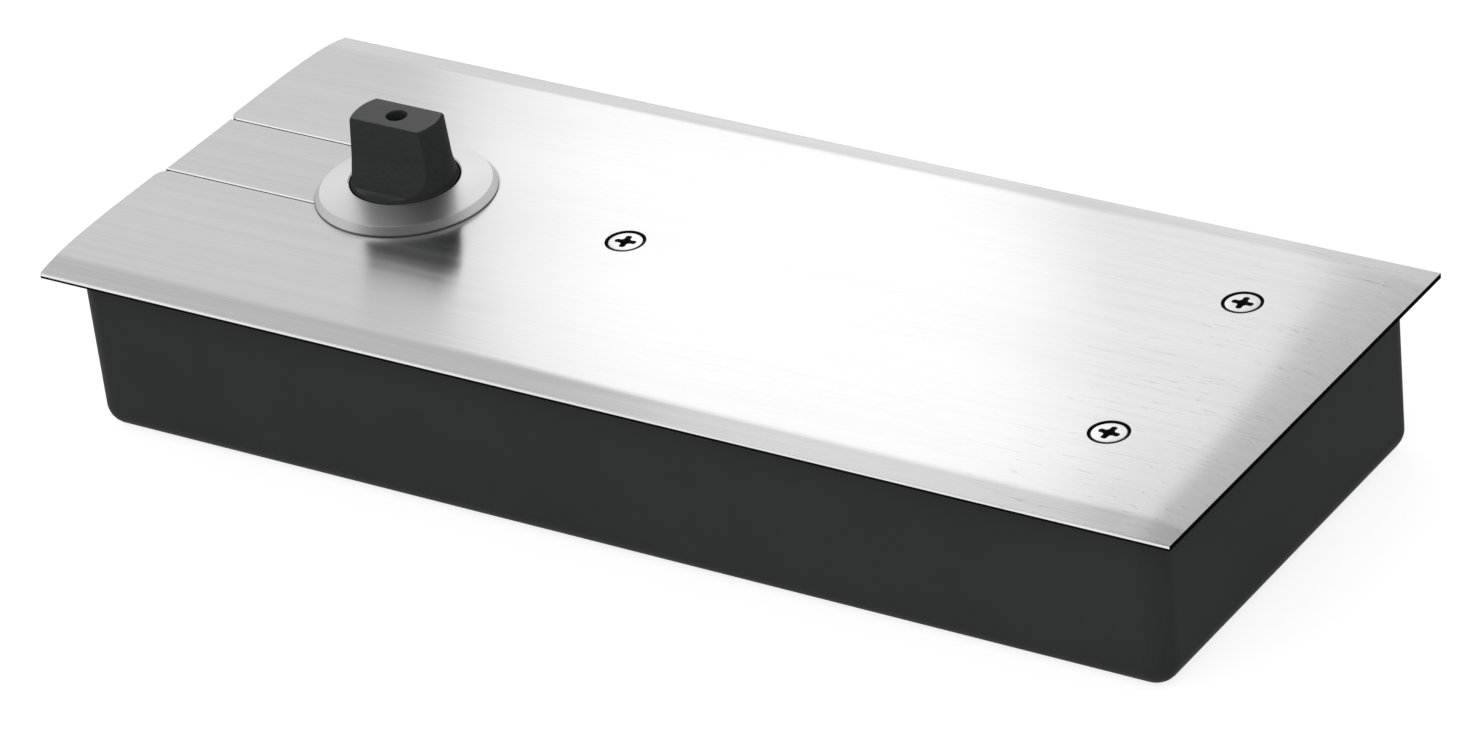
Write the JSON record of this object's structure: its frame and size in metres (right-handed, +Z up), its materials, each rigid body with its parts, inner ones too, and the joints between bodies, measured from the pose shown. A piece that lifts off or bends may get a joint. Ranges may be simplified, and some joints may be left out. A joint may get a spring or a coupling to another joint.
{
  "type": "floor spring",
  "caption": "Floor spring: long dark floor box under a brushed slotted cover, with a ring and a flat-sided tapered spindle that turns a cam, piston and springs.",
  "frame": {"origin": "middle of the case's underside, under the middle of the cover", "axes": "+X along the cover away from the spindle, +Y across it, +Z up out of the floor"},
  "size_m": [0.306, 0.127, 0.0669],
  "materials": {
    "cover_sheet": "brushed along the length",
    "ring_metal": "satin",
    "case_paint": "satin",
    "spindle_steel": "dark, turned",
    "iron": "matt",
    "bright_steel": "ground",
    "bronze": "satin",
    "spring_steel": "oiled",
    "seal_rubber": "matt",
    "gasket_fibre": "matt"
  },
  "bodies": {
    "case": {"cement_box": "case_paint", "cover_plate": "cover_sheet", "slot_strip": "cover_sheet", "spindle_ring": "ring_metal", "cover_screws": "bright_steel", "closer_body": "iron", "body_lid": "iron", "lid_gasket": "gasket_fibre", "lid_screws": "bright_steel", "upper_bearing": "bronze", "lower_bearing": "bronze", "spindle_seal": "seal_rubber", "end_plug": "bright_steel", "end_plug_seal": "seal_rubber", "channel_plugs": "bright_steel", "hold_down_screws": "bright_steel", "hold_down_washers": "bright_steel", "levelling_screws": "bright_steel"},
    "spindle": {"spindle": "spindle_steel", "heart_cam": "iron", "cam_key": "bright_steel", "cam_clip": "bright_steel"},
    "piston": {"piston": "bright_steel", "piston_seal": "seal_rubber", "check_ball": "bright_steel", "ball_retainer": "bright_steel", "roller_pin": "bright_steel"},
    "roller": {"cam_roller": "bright_steel"},
    "nut": {"spring_nut": "bright_steel", "outer_spring": "spring_steel", "inner_spring": "spring_steel"},
    "adjuster": {"power_adjuster": "bright_steel", "adjuster_seal": "seal_rubber"},
    "closing_valve": {"closing_speed_valve": "bronze", "closing_valve_seal": "seal_rubber"},
    "latching_valve": {"latching_speed_valve": "bronze", "latching_valve_seal": "seal_rubber"}
  },
  "joints": [
    {"name": "spindle_turn", "type": "hinge", "parent": "case", "child": "spindle", "pos_m": [-0.0903, 0, 0], "axis": [0, 0, 1], "range_deg": [0, 120], "stiffness_Nm_per_rad": 4, "springref_deg": -28.65},
    {"name": "piston_slide", "type": "slide", "parent": "case", "child": "piston", "axis": [1, 0, 0], "range_m": [0, 0.0185], "deforming": ["outer_spring", "inner_spring"]},
    {"name": "roller_spin", "type": "hinge", "parent": "piston", "child": "roller", "pos_m": [-0.0703, 0, 0], "axis": [0, 0, 1], "continuous": true},
    {"name": "power_adjuster_turn", "type": "hinge", "parent": "case", "child": "adjuster", "pos_m": [0.12, 0, 0.02], "axis": [1, 0, 0], "range_deg": [0, 1801]},
    {"name": "spring_nut_slide", "type": "slide", "parent": "case", "child": "nut", "axis": [-1, 0, 0], "range_m": [0, 0.0075]},
    {"name": "closing_valve_turn", "type": "hinge", "parent": "case", "child": "closing_valve", "pos_m": [0.106, -0.024, 0.03], "axis": [0, 0, 1], "range_deg": [0, 720]},
    {"name": "latching_valve_turn", "type": "hinge", "parent": "case", "child": "latching_valve", "pos_m": [0.106, 0.024, 0.03], "axis": [0, 0, 1], "range_deg": [0, 720]}
  ],
  "couplings": [
    {"joint": "piston_slide", "follows": "spindle_turn", "m_per_rad": 0.0086},
    {"joint": "power_adjuster_turn", "follows": "spring_nut_slide", "rad_per_m": 4188.8}
  ]
}
